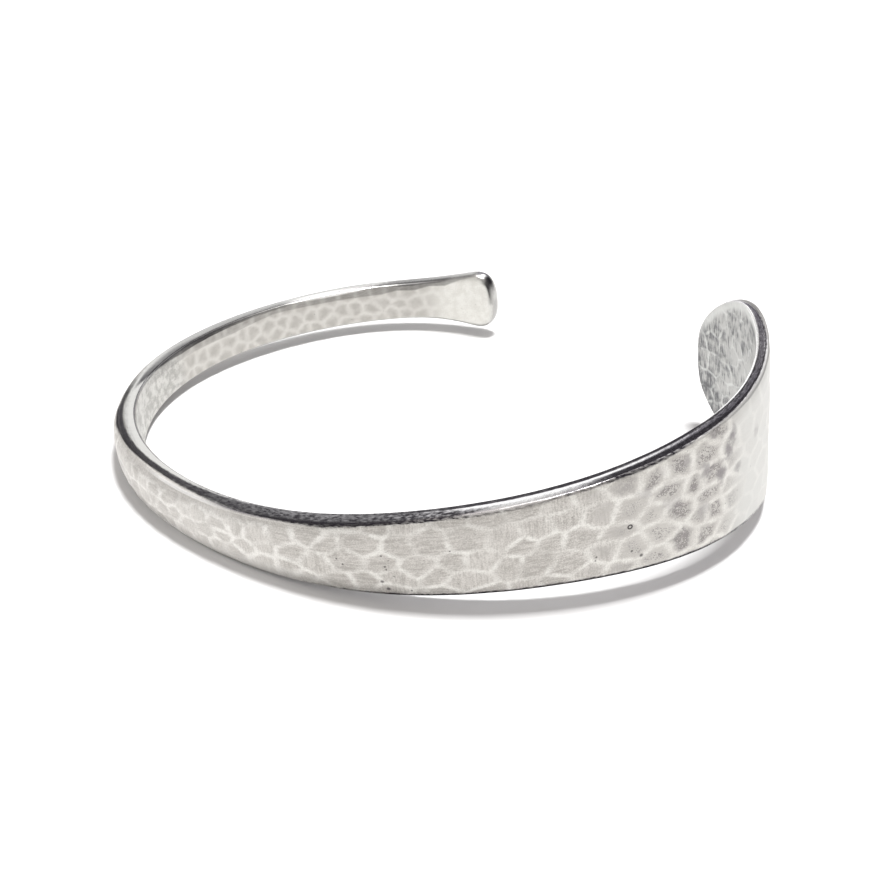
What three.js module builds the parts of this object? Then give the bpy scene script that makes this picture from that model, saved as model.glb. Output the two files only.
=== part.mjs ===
// Spoon bangle: an open cuff forged in one piece from a bar of silver.
//
// The strip starts as a narrow, thick tip that flares like a small spoon, runs
// round the back and the left side as a slim domed shank, widens through the
// front and ends on the right as a broad thin leaf with a rounded end.
//
// Millimetres, +Z up. The bangle lies on its lower edge on the plane z = 0,
// with the origin under the middle of its bounding box. Angles are seen from
// above, from +X towards +Y, so that the front of the bangle is at 270 degrees.

import * as THREE from "three";
import { mergeVertices } from "three/addons/utils/BufferGeometryUtils.js";

// ---------------------------------------------------------------------------
// Driving dimensions
// ---------------------------------------------------------------------------

// Inside of the band seen from above: a circle that is drawn out to an oval,
// with a little egg shape and a little squareness.
const INSIDE = {
  meanRadius: 29.0,
  oval: { amount: -3.05, lobes: 2, at: 61.8 },
  egg: { amount: -1.1, lobes: 3, at: 32 },
  square: { amount: 0.66, lobes: 4, at: 80.8 },
};

// The band isn't quite true: its middle line rises and falls round the wrist.
const LIFT = {
  twist: { amount: -0.75, lobes: 2, at: 65.3 },
  sway: { amount: 0.16, lobes: 3, at: 157.6 },
};

const TIP_ANGLE = 75.05; // where the narrow tip ends
const LARGEST_SWEEP = 330; // how far round the inside line is worked out
const STRIP_LENGTH = 154.9; // along the inside, from tip to wide end

// The flat strip before it is bent. along: distance from the narrow tip.
// width: across the strip. rim: thickness at the edges. dome: how much more the
// outer face stands out in the middle. arris: radius of the rounded corners.
const STATIONS = [
  { along: 0, width: 8.3, rim: 2.3, dome: 0.3, arris: 0.9 },
  { along: 7, width: 5.3, rim: 2.0, dome: 0.4, arris: 0.55 },
  { along: 14, width: 4.65, rim: 1.8, dome: 0.5, arris: 0.35 },
  { along: 26, width: 4.45, rim: 1.7, dome: 0.55, arris: 0.35 },
  { along: 45, width: 4.45, rim: 1.85, dome: 0.65, arris: 0.35 },
  { along: 65, width: 5.35, rim: 1.9, dome: 0.8, arris: 0.35 },
  { along: 82, width: 6.15, rim: 1.95, dome: 0.6, arris: 0.35 },
  { along: 98, width: 8.0, rim: 2.0, dome: 0.36, arris: 0.35 },
  { along: 112, width: 9.55, rim: 2.0, dome: 0.22, arris: 0.33 },
  { along: 125, width: 12.15, rim: 1.8, dome: 0.14, arris: 0.3 },
  { along: 136, width: 15.1, rim: 1.4, dome: 0.1, arris: 0.28 },
  { along: 146, width: 18.3, rim: 1.15, dome: 0.08, arris: 0.26 },
  { along: 154.9, width: 13.85, rim: 1.0, dome: 0.05, arris: 0.25 },
];

// Rounded ends of the strip: each is a quarter of a superellipse at each edge.
// reach: length that it rounds off. squareness: 2 is an ellipse, more is boxier.
const TIP_END = { reach: 3.2, squareness: 2.4, points: 12 };
const WIDE_END = { reach: 13.6, squareness: 3.1, points: 22 };

// How the bangle lies by itself: its lower edge touches at the front left and
// at the wide right side, with its weight above the line between them.
const REST_TILT = { aboutX: -0.99, aboutY: -5.55 };

// Depth of the small flats that its lower edge has worn where it lies.
const WEAR = 0.08;

// Fineness of the mesh.
const STRAIGHT_STEPS = 100; // steps along each edge between the rounded ends
const ARRIS_STEPS = 3; // facets round each rounded corner
const OUTER_ROWS = [0, 0.4, 0.7, 0.88]; // rows from the middle line to the edge
const INNER_ROWS = [0.5, 0]; // rows from the edge back to the middle line
const MIDDLE_LINE_REACH = 0.6; // how far the middle line runs into an end

const SILVER = { color: 0xcfcac2, roughness: 0.32, metalness: 1.0 };

// ---------------------------------------------------------------------------
// Curves through the tables
// ---------------------------------------------------------------------------

/** A smooth curve y(x) through the given points, straight at both ends. */
function naturalSpline(xs, ys) {
  const last = xs.length - 1;
  const bend = new Array(xs.length).fill(0);
  const carried = new Array(xs.length).fill(0);
  for (let i = 1; i < last; i += 1) {
    const before = xs[i] - xs[i - 1];
    const after = xs[i + 1] - xs[i];
    const turn = (ys[i + 1] - ys[i]) / after - (ys[i] - ys[i - 1]) / before;
    const pivot = 2 * (before + after) - before * carried[i - 1];
    carried[i] = after / pivot;
    bend[i] = (6 * turn - before * bend[i - 1]) / pivot;
  }
  for (let i = last - 1; i > 0; i -= 1) {
    bend[i] -= carried[i] * bend[i + 1];
  }
  return (x) => {
    let i = 0;
    while (i < last - 1 && x > xs[i + 1]) i += 1;
    const step = xs[i + 1] - xs[i];
    const left = (xs[i + 1] - x) / step;
    const right = (x - xs[i]) / step;
    const straight = left * ys[i] + right * ys[i + 1];
    const curved = (left ** 3 - left) * bend[i] + (right ** 3 - right) * bend[i + 1];
    return straight + (curved * step * step) / 6;
  };
}

/** One column of the stations as a smooth function of the distance along. */
function column(name) {
  return naturalSpline(
    STATIONS.map((station) => station.along),
    STATIONS.map((station) => station[name]),
  );
}

const fullWidth = column("width");
const rimThickness = column("rim");
const domeHeight = column("dome");
const arrisRadius = column("arris");

/** Sum of some waves round the wrist, at one angle in degrees. */
function waveSum(waves, degrees) {
  let sum = 0;
  for (const { amount, lobes, at } of waves) {
    sum += amount * Math.cos(THREE.MathUtils.degToRad(lobes * (degrees - at)));
  }
  return sum;
}

/** The inside line of the band, seen from above. */
class InsideLine extends THREE.Curve {
  getPoint(t, target = new THREE.Vector3()) {
    const degrees = TIP_ANGLE + t * LARGEST_SWEEP;
    const swell = waveSum([INSIDE.oval, INSIDE.egg, INSIDE.square], degrees);
    const radius = INSIDE.meanRadius + swell;
    const angle = THREE.MathUtils.degToRad(degrees);
    return target.set(radius * Math.cos(angle), radius * Math.sin(angle), 0);
  }
}

const insideLine = new InsideLine();
insideLine.arcLengthDivisions = 4000;
const insideLength = insideLine.getLength();

/** Bends a place on the flat strip round the wrist. */
function bend(along, height, depth) {
  const fraction = along / insideLength;
  const point = insideLine.getPointAt(fraction);
  const tangent = insideLine.getTangentAt(fraction);
  const degrees = THREE.MathUtils.radToDeg(Math.atan2(point.y, point.x));
  const lift = waveSum([LIFT.twist, LIFT.sway], degrees);
  const x = point.x + tangent.y * depth;
  const y = point.y - tangent.x * depth;
  return new THREE.Vector3(x, y, height + lift);
}

// ---------------------------------------------------------------------------
// The flat strip
// ---------------------------------------------------------------------------

/** Points of one rounded end, from its very end inwards: distance and share of the width. */
function roundedEnd(end) {
  const points = [];
  for (let i = 0; i < end.points; i += 1) {
    const angle = (i / end.points) * (Math.PI / 2);
    const across = Math.sin(angle) ** (2 / end.squareness);
    const inwards = 1 - Math.cos(angle) ** (2 / end.squareness);
    points.push({ distance: end.reach * inwards, share: across });
  }
  return points;
}

/** Upper edge of the strip, from the middle of the tip to the middle of the wide end. */
function upperEdge() {
  const straightLength = STRIP_LENGTH - TIP_END.reach - WIDE_END.reach;
  const places = [];
  for (const point of roundedEnd(TIP_END)) {
    places.push({ along: point.distance, share: point.share });
  }
  for (let i = 0; i <= STRAIGHT_STEPS; i += 1) {
    places.push({ along: TIP_END.reach + (straightLength * i) / STRAIGHT_STEPS, share: 1 });
  }
  for (const point of roundedEnd(WIDE_END).reverse()) {
    places.push({ along: STRIP_LENGTH - point.distance, share: point.share });
  }
  return places.map(({ along, share }) => new THREE.Vector2(along, (share * fullWidth(along)) / 2));
}

/** The whole edge as a closed loop: along the upper edge and back along the lower one. */
function closedEdge() {
  const upper = upperEdge();
  const lower = upper.slice(1, -1).reverse();
  return [...upper, ...lower.map((point) => new THREE.Vector2(point.x, -point.y))];
}

/** Unit vector at one point of the loop, pointing away from the strip. */
function edgeNormal(loop, index) {
  const before = loop[(index + loop.length - 1) % loop.length];
  const after = loop[(index + 1) % loop.length];
  const direction = new THREE.Vector2().subVectors(after, before).normalize();
  return new THREE.Vector2(-direction.y, direction.x);
}

/** Where the middle line is met from a point of the edge; it stops short of both ends. */
function middleLine(along) {
  const wideStart = STRIP_LENGTH - WIDE_END.reach;
  if (along < TIP_END.reach) {
    return TIP_END.reach + (along - TIP_END.reach) * MIDDLE_LINE_REACH;
  }
  if (along > wideStart) {
    return wideStart + (along - wideStart) * MIDDLE_LINE_REACH;
  }
  return along;
}

// ---------------------------------------------------------------------------
// The band
// ---------------------------------------------------------------------------

/** One line of points over the outer face, round the rim and back over the inner face. */
function ribPoints(loop, index) {
  const edge = loop[index];
  const outward = edgeNormal(loop, index);
  const middle = new THREE.Vector2(middleLine(edge.x), 0);
  const arris = arrisRadius(edge.x);
  const thickness = rimThickness(edge.x);
  const shoulder = edge.clone().addScaledVector(outward, -arris);
  const points = [];
  for (const row of OUTER_ROWS) {
    const place = middle.clone().lerp(shoulder, row);
    const depth = rimThickness(place.x) + domeHeight(place.x) * (1 - row ** 4);
    points.push(bend(place.x, place.y, depth));
  }
  for (let i = 0; i <= ARRIS_STEPS; i += 1) {
    const angle = (i / ARRIS_STEPS) * (Math.PI / 2);
    const place = shoulder.clone().addScaledVector(outward, arris * Math.sin(angle));
    points.push(bend(place.x, place.y, thickness - arris * (1 - Math.cos(angle))));
  }
  for (let i = ARRIS_STEPS; i >= 0; i -= 1) {
    const angle = (i / ARRIS_STEPS) * (Math.PI / 2);
    const place = shoulder.clone().addScaledVector(outward, arris * Math.sin(angle));
    points.push(bend(place.x, place.y, arris * (1 - Math.cos(angle))));
  }
  for (const row of INNER_ROWS) {
    const place = middle.clone().lerp(shoulder, row);
    points.push(bend(place.x, place.y, 0));
  }
  return points;
}

/** Joins neighbouring ribs all round the loop into one closed mesh. */
function bandGeometry() {
  const loop = closedEdge();
  const ribs = loop.map((_, index) => ribPoints(loop, index));
  const perRib = ribs[0].length;
  const indices = [];
  for (let i = 0; i < ribs.length; i += 1) {
    const here = i * perRib;
    const next = ((i + 1) % ribs.length) * perRib;
    for (let j = 0; j < perRib - 1; j += 1) {
      indices.push(here + j, next + j + 1, here + j + 1);
      indices.push(here + j, next + j, next + j + 1);
    }
  }
  const geometry = new THREE.BufferGeometry().setFromPoints(ribs.flat());
  geometry.setIndex(indices);
  return mergeVertices(geometry, 1e-4);
}

/** Tilts the band as it lies, wears its lowest edge flat and centres it over the origin. */
function layDown(geometry) {
  const aboutX = THREE.MathUtils.degToRad(REST_TILT.aboutX);
  const aboutY = THREE.MathUtils.degToRad(REST_TILT.aboutY);
  const tilt = new THREE.Euler(aboutX, aboutY, 0, "YXZ");
  geometry.applyMatrix4(new THREE.Matrix4().makeRotationFromEuler(tilt));
  geometry.computeBoundingBox();
  const box = geometry.boundingBox;
  const middle = box.getCenter(new THREE.Vector3());
  geometry.translate(-middle.x, -middle.y, -box.min.z - WEAR);
  const position = geometry.getAttribute("position");
  for (let i = 0; i < position.count; i += 1) {
    position.setZ(i, Math.max(0, position.getZ(i)));
  }
  return geometry;
}

/** The whole bangle is this one piece. */
function makeBand() {
  const band = new THREE.Mesh(layDown(bandGeometry()), new THREE.MeshStandardMaterial(SILVER));
  band.name = "band";
  return band;
}

const group = new THREE.Group();
group.add(makeBand());

export default group;
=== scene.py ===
"""Spoon bangle: an open silver cuff, forged in one piece and planished all over.

The band is drawn as one closed surface over the flat strip it was forged from,
with every hammer blow sunk into it, and then bent round the wrist.
Lengths in the tables are millimetres. The mesh itself is in metres.
"""

import logging
import math
from dataclasses import dataclass, field
from enum import Enum

import bpy
import numpy as np
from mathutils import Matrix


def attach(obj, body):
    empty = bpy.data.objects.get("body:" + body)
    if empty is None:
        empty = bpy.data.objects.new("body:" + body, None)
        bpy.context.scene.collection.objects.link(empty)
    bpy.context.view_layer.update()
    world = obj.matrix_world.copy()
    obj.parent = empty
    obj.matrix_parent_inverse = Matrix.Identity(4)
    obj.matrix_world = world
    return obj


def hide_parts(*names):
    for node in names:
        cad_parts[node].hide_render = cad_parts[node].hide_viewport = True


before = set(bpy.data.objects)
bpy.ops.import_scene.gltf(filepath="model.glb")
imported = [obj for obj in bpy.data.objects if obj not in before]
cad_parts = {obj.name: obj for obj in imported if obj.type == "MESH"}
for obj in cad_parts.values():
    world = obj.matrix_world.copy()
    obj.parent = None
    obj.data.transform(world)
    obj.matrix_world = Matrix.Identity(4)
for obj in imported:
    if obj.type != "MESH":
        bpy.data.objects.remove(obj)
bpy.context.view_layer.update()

LOG = logging.getLogger("spoon_bangle")
MM = 0.001
Array = np.ndarray


# --- Plain curves ---


def natural_spline(knots: Array, values: Array, places: Array) -> Array:
    """Smooth curve through the knots, straight at both ends.

    Between two knots the value is the straight line plus a cubic bow, whose
    bends are those that make slope and bend run on without a jump.

    Args:
        knots: Rising positions of the known values.
        values: The known values.
        places: Positions to read the curve at.

    Returns:
        The curve's value at each place.
    """
    step = np.diff(knots)
    count = len(knots)
    system = np.eye(count)
    turns = np.zeros(count)
    inner = np.arange(1, count - 1)
    system[inner, inner - 1] = step[:-1]
    system[inner, inner] = 2 * (step[:-1] + step[1:])
    system[inner, inner + 1] = step[1:]
    slope = np.diff(values) / step
    turns[inner] = 6 * np.diff(slope)
    bend = np.linalg.solve(system, turns)
    i = np.clip(np.searchsorted(knots, places) - 1, 0, count - 2)
    left = (knots[i + 1] - places) / step[i]
    right = (places - knots[i]) / step[i]
    bow = (left**3 - left) * bend[i] + (right**3 - right) * bend[i + 1]
    return left * values[i] + right * values[i + 1] + bow * step[i] ** 2 / 6


def smooth_step(value: Array, start: float, end: float) -> Array:
    """0 before start, 1 after end, and t*t*(3 - 2t) between them."""
    share = np.clip((value - start) / (end - start), 0.0, 1.0)
    return share * share * (3 - 2 * share)


def between(value: Array, start: float, end: float, fade: float) -> Array:
    """1 from start to end, fading to 0 over the given length outside them."""
    rise = smooth_step(value, start - fade, start)
    return rise * (1 - smooth_step(value, end, end + fade))


# --- The strip and its bend ---


class Side(Enum):
    """The two broad faces of the band."""

    OUTER = 0
    INNER = 1


@dataclass(frozen=True)
class Wave:
    """One wave round the wrist: amount * cos(lobes * (angle - at))."""

    amount: float
    lobes: int
    at: float


@dataclass(frozen=True)
class InsideLine:
    """The inside of the band: a circle with waves on it, that also lifts a little."""

    mean_radius: float = 29.0
    waves: tuple[Wave, ...] = (Wave(-3.05, 2, 61.8), Wave(-1.1, 3, 32.0), Wave(0.66, 4, 80.8))
    lifts: tuple[Wave, ...] = (Wave(-0.75, 2, 65.3), Wave(0.16, 3, 157.6))
    tip_angle: float = 75.05
    sweep: float = 330.0
    divisions: int = 6000

    def _at(self, degrees: Array) -> tuple[Array, Array]:
        """Point and outward normal at an angle.

        The point is radius * (cos, sin). The tangent is its derivative, and
        the outward normal is the tangent turned a quarter to the right.

        Args:
            degrees: Angles seen from above.

        Returns:
            Points and unit normals, two columns each.
        """
        angle = np.radians(degrees)
        radius = np.full_like(angle, self.mean_radius)
        growth = np.zeros_like(angle)
        for wave in self.waves:
            phase = wave.lobes * (angle - math.radians(wave.at))
            radius = radius + wave.amount * np.cos(phase)
            growth = growth - wave.amount * wave.lobes * np.sin(phase)
        east, north = np.cos(angle), np.sin(angle)
        points = np.stack([radius * east, radius * north], -1)
        tangent = np.stack([growth * east - radius * north, growth * north + radius * east], -1)
        tangent /= np.linalg.norm(tangent, axis=-1, keepdims=True)
        return points, np.stack([tangent[..., 1], -tangent[..., 0]], -1)

    def place(self, along: Array) -> tuple[Array, Array]:
        """Point and outward normal at a distance along the line.

        The length up to each angle is the sum of the short chords before it.

        Args:
            along: Distances from the tip.

        Returns:
            Points and unit normals, two columns each.
        """
        degrees = self.tip_angle + np.linspace(0, self.sweep, self.divisions + 1)
        points, _ = self._at(degrees)
        chords = np.linalg.norm(np.diff(points, axis=0), axis=1)
        length = np.concatenate([[0.0], np.cumsum(chords)])
        return self._at(np.interp(along, length, degrees))

    def lift(self, points: Array) -> Array:
        """Height of the middle line at its points: the sum of the lift waves."""
        angle = np.arctan2(points[:, 1], points[:, 0])
        return sum(w.amount * np.cos(w.lobes * (angle - math.radians(w.at))) for w in self.lifts)


@dataclass(frozen=True)
class Station:
    """One cross-section of the flat strip.

    along: distance from the tip. width: across the strip. rim: thickness at
    the edges. dome: how much more the outer face stands out in the middle.
    arris: radius of the rounded corners.
    """

    along: float
    width: float
    rim: float
    dome: float
    arris: float


@dataclass(frozen=True)
class RoundedEnd:
    """A rounded end of the strip, a quarter of a superellipse at each edge."""

    reach: float
    squareness: float
    points: int

    def outline(self) -> tuple[Array, Array]:
        """Distance from the very end, and share of the width, inwards.

        Distance is reach * (1 - cos(a)^(2/squareness)) and the share is
        sin(a)^(2/squareness), for a from nought to a right angle.

        Returns:
            Distances and shares, without the last point.
        """
        angle = np.arange(self.points) / self.points * (math.pi / 2)
        power = 2 / self.squareness
        return self.reach * (1 - np.cos(angle) ** power), np.sin(angle) ** power


@dataclass(frozen=True)
class Strip:
    """The flat strip: outline, thickness and rounded corners."""

    length: float = 154.9
    tip: RoundedEnd = RoundedEnd(3.2, 2.4, 22)
    wide: RoundedEnd = RoundedEnd(13.6, 3.1, 72)
    middle_reach: float = 0.6
    fine_places: int = 4000
    stations: tuple[Station, ...] = (
        Station(0, 8.3, 2.3, 0.3, 0.9),
        Station(7, 5.3, 2.0, 0.4, 0.55),
        Station(14, 4.65, 1.8, 0.5, 0.35),
        Station(26, 4.45, 1.7, 0.55, 0.35),
        Station(45, 4.45, 1.85, 0.65, 0.35),
        Station(65, 5.35, 1.9, 0.8, 0.35),
        Station(82, 6.15, 1.95, 0.6, 0.35),
        Station(98, 8.0, 2.0, 0.36, 0.35),
        Station(112, 9.55, 2.0, 0.22, 0.33),
        Station(125, 12.15, 1.8, 0.14, 0.3),
        Station(136, 15.1, 1.4, 0.1, 0.28),
        Station(146, 18.3, 1.15, 0.08, 0.26),
        Station(154.9, 13.85, 1.0, 0.05, 0.25),
    )
    # Spacing of the ribs along the strip: distance from the tip, and step.
    rib_steps: tuple[tuple[float, float], ...] = ((0, 0.37), (60, 0.36), (100, 0.27), (155, 0.22))

    def column(self, name: str, along: Array) -> Array:
        """One column of the stations as a smooth curve, read at each place."""
        table = np.array([(row.along, getattr(row, name)) for row in self.stations], float)
        return natural_spline(table[:, 0], table[:, 1], along)

    def straight_places(self) -> Array:
        """Places of the ribs between the rounded ends.

        The number of ribs up to a place is the sum of 1/step, and the places
        are where that sum passes each whole share of its total.

        Returns:
            Rising distances from the tip.
        """
        start, end = self.tip.reach, self.length - self.wide.reach
        fine = np.linspace(start, end, self.fine_places)
        knots, steps = np.array(self.rib_steps).T
        density = 1 / np.interp(fine, knots, steps)
        pieces = (density[1:] + density[:-1]) / 2 * np.diff(fine)
        counted = np.concatenate([[0.0], np.cumsum(pieces)])
        shares = np.linspace(0, counted[-1], int(round(counted[-1])) + 1)
        return np.interp(shares, counted, fine)

    def edge(self) -> Array:
        """The upper edge from the middle of the tip to the middle of the wide end.

        Returns:
            Rows of (along, across).
        """
        tip_far, tip_share = self.tip.outline()
        wide_far, wide_share = self.wide.outline()
        straight = self.straight_places()
        along = np.concatenate([tip_far, straight, self.length - wide_far[::-1]])
        share = np.concatenate([tip_share, np.ones(len(straight)), wide_share[::-1]])
        return np.stack([along, share * self.column("width", along) / 2], -1)

    def closed_edge(self) -> Array:
        """The whole edge as a loop: along the upper one and back along the lower."""
        upper = self.edge()
        return np.concatenate([upper, upper[-2:0:-1] * (1, -1)])

    def middle(self, along: Array) -> Array:
        """Where the middle line is met from the edge; it stops short of both ends."""
        straight = np.clip(along, self.tip.reach, self.length - self.wide.reach)
        return straight + (along - straight) * self.middle_reach


# --- Hammer work ---

# What a point that isn't beaten carries for its crest and its tone.
NO_CREST = 1.5
EVEN_TONE = 0.5


@dataclass(frozen=True)
class Blows:
    """What the hammer leaves at each point of a face.

    depth: how far the face is beaten in. crest: distance to the nearest crest
    between two blows. tone: a number from 0 to 1 for each blow.
    """

    depth: Array
    crest: Array
    tone: Array


@dataclass(frozen=True)
class Hammer:
    """Overlapping blows of a slightly domed hammer, in staggered rows.

    Each blow is a shallow bowl, and the face is the lowest of the bowls.
    """

    along_pitch: float = 2.85
    across_pitch: float = 2.0
    wander: float = 0.33
    bowl_radius: float = 15.0
    uneven: float = 0.012
    softness: float = 260.0
    seed: int = 3
    finer: float = 1.6
    finer_until: tuple[float, float] = (64.0, 94.0)
    # The blows cover more than the strip, and start before its tip.
    covered_length: float = 270.0
    covered_width: float = 26.0
    lead: float = 8.0
    strip_reach: float = 160.0
    fine_places: int = 1601
    crest_share: float = 0.62

    def _warped(self, along: Array) -> tuple[Array, Array]:
        """Lengthens the strip where the blows are finer.

        Args:
            along: Distances from the tip.

        Returns:
            The sum of the fineness up to each place, and the fineness there.
        """
        places = np.linspace(0.0, self.strip_reach, self.fine_places)
        fineness = self.finer + (1 - self.finer) * smooth_step(places, *self.finer_until)
        summed = np.concatenate([[0.0], np.cumsum(fineness[1:] * np.diff(places))])
        return np.interp(along, places, summed), np.interp(along, places, fineness)

    def read(self, along: Array, across: Array) -> Blows:
        """Depth, distance to the crest and tone of the blows.

        A bowl's height is distance^2 / (2 * bowl radius) less its own sink,
        with distances along the strip squeezed by the ratio of the pitches.
        The face is the soft minimum -log(sum(exp(-k * height))) / k, and the
        crest lies where the two lowest bowls are equally high.

        Args:
            along: Distances from the tip.
            across: Distances from the middle line.

        Returns:
            One value of each kind for every point.
        """
        along, fineness = self._warped(along)
        across = across * fineness
        rows = int(self.covered_width / self.across_pitch)
        columns = int(self.covered_length / self.along_pitch)
        rng = np.random.default_rng(self.seed)
        shift = rng.uniform(-self.wander, self.wander, (2, rows, columns))
        sink = rng.uniform(-self.uneven, self.uneven, (rows, columns))
        tone = rng.uniform(0.0, 1.0, (rows, columns))
        row_number, column_number = np.mgrid[0:rows, 0:columns].astype(float)
        stagger = 0.5 * (row_number % 2)
        seed_along = (column_number + stagger + shift[0]) * self.along_pitch - self.lead
        seed_across = (row_number - rows // 2 + shift[1]) * self.across_pitch

        near_row = np.rint(across / self.across_pitch + rows // 2).astype(int)
        near_row = np.clip(near_row, 2, rows - 3)
        step = np.arange(-2, 3)
        row = near_row[:, None, None] + step[None, :, None]
        near_column = (along[:, None, None] + self.lead) / self.along_pitch - 0.5 * (row % 2)
        near_column = np.clip(np.rint(near_column).astype(int), 2, columns - 3)
        column = near_column + step[None, None, :]
        row = np.broadcast_to(row, column.shape)
        row, column = (index.reshape(len(along), -1) for index in (row, column))

        squeeze = self.across_pitch / self.along_pitch
        aside = (along[:, None] - seed_along[row, column]) * squeeze
        above = across[:, None] - seed_across[row, column]
        height = (aside**2 + above**2) / (2 * self.bowl_radius) - sink[row, column]

        order = np.argsort(height, axis=1)[:, :2]
        pick = np.arange(len(along))
        first, second = order[:, 0], order[:, 1]
        lowest = height[pick, first]
        summed = np.exp(-self.softness * (height - lowest[:, None])).sum(1)
        face = lowest - np.log(summed) / self.softness
        apart = np.hypot(
            aside[pick, first] - aside[pick, second],
            above[pick, first] - above[pick, second],
        )
        gap = (height[pick, second] - lowest) * self.bowl_radius / apart
        crest_height = (self.crest_share * self.across_pitch) ** 2 / (2 * self.bowl_radius)
        depth = np.maximum(crest_height - face, 0.0)
        return Blows(depth, gap, tone[row[pick, first], column[pick, first]])


# --- Tarnish, painted shade, painted highlights and pits ---


class Edge(Enum):
    """The two long edges of the band as it lies."""

    UPPER = 1
    LOWER = -1


@dataclass(frozen=True)
class Streak:
    """A streak along one edge, as used for tarnish with painted shade, for satin and for painted
    highlights.

    Each row is (along, low, high, soft, depth): from low to high round the
    edge, how softly it starts, and how strong it is. Round the edge, 0 and 1
    are the outer and the inner corner of the rim, and past them it is
    millimetres.
    """

    rows: tuple[tuple[float, float, float, float, float], ...]
    edge: Edge = Edge.UPPER
    end_soft: float = 0.07

    def read(self, along: Array, across: Array, round_edge: Array) -> Array:
        """Strength of the streak, from 0 to 1, at each point.

        Args:
            along: Distances from the tip.
            across: Distances from the middle line.
            round_edge: Places round the edge.

        Returns:
            The row's depth inside the streak and 0 outside it.
        """
        table = np.array(self.rows, float)
        low, high, soft, depth = (np.interp(along, table[:, 0], part) for part in table.T[1:])
        start = smooth_step((round_edge - low) / soft, -1.0, 1.0)
        end = smooth_step((high - round_edge) / self.end_soft, -1.0, 1.0)
        within = (along >= table[0, 0]) & (along <= table[-1, 0])
        return start * end * depth * within * (across * self.edge.value >= 0)


# Dark streaks on the rim and its corners: partly tarnish, partly painted shade and painted dark
# reflection of the room.
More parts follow.
